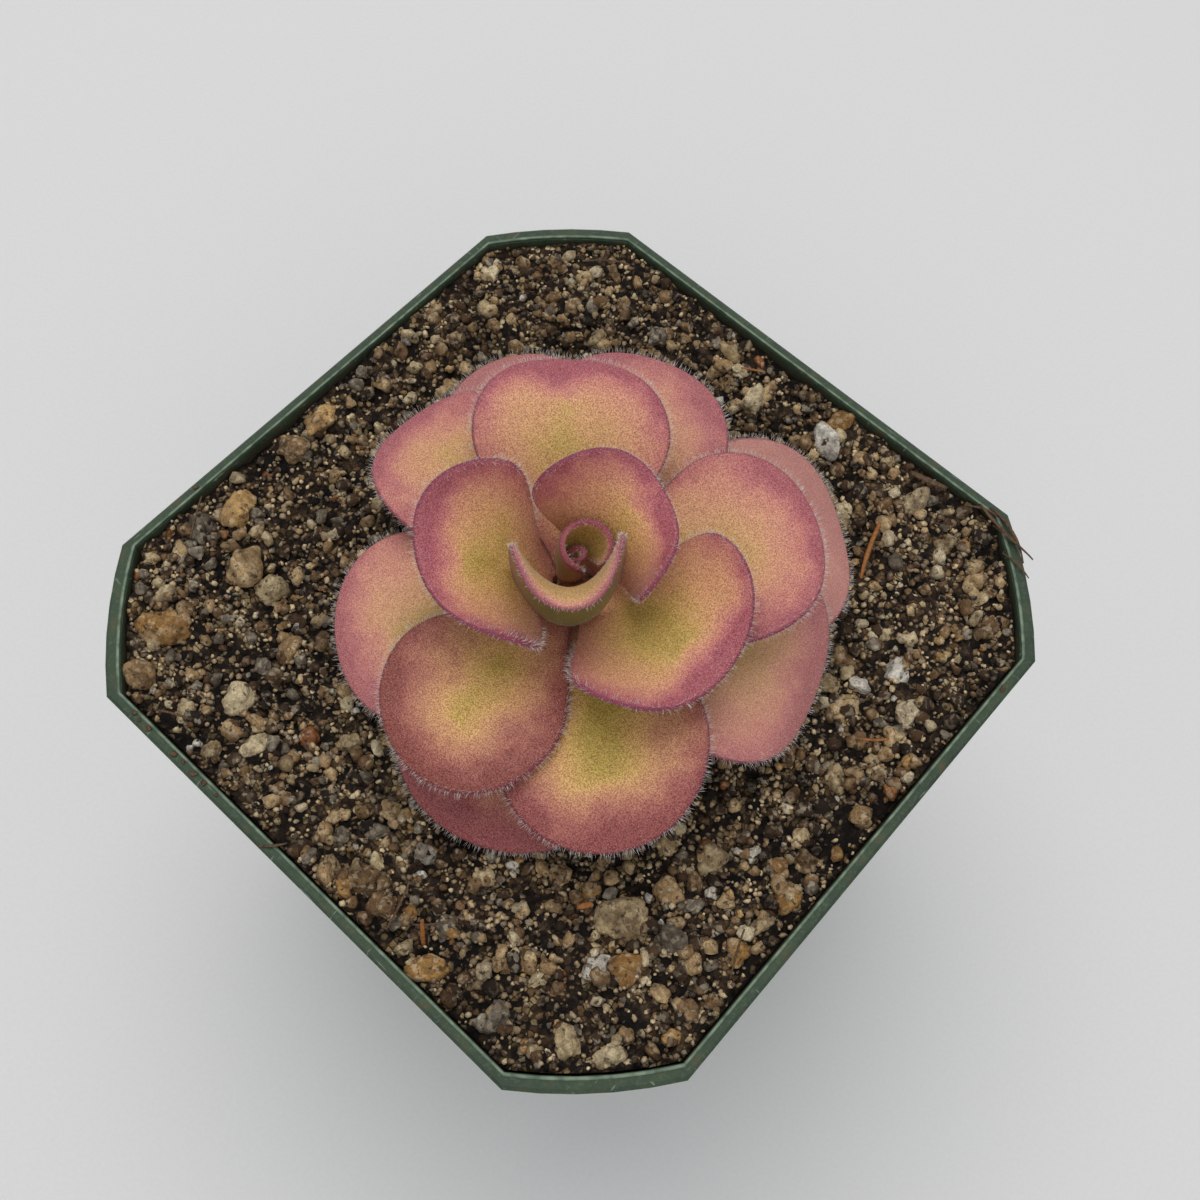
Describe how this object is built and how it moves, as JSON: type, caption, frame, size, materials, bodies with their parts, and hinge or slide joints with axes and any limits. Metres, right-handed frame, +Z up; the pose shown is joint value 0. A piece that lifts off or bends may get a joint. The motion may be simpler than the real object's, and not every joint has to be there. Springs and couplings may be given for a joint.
{
  "type": "potted butterwort",
  "caption": "Rosette of thick, softly hairy pink and olive butterwort leaves, rooted in gritty mix in a square green plastic nursery pot with cut corners.",
  "frame": {"origin": "middle of the pot's underside", "axes": "+Z up along the plant's axis; the pot's four flat sides face +X, -X, +Y and -Y"},
  "size_m": [0.088, 0.088, 0.1073],
  "materials": {
    "pot": "matte, slightly scuffed",
    "soil": "rough, gritty",
    "rootstock": "matte",
    "leaf": "soft satin with fine hairs"
  },
  "bodies": {
    "root": {"pot": "pot", "soil": "soil", "rootstock": "rootstock", "leaf_01": "leaf", "leaf_02": "leaf", "leaf_03": "leaf", "leaf_04": "leaf", "leaf_05": "leaf", "leaf_06": "leaf", "leaf_07": "leaf", "leaf_08": "leaf", "leaf_09": "leaf", "leaf_10": "leaf", "leaf_11": "leaf", "leaf_12": "leaf", "leaf_13": "leaf", "leaf_14": "leaf", "leaf_15": "leaf", "leaf_16": "leaf", "leaf_17": "leaf"}
  },
  "joints": []
}
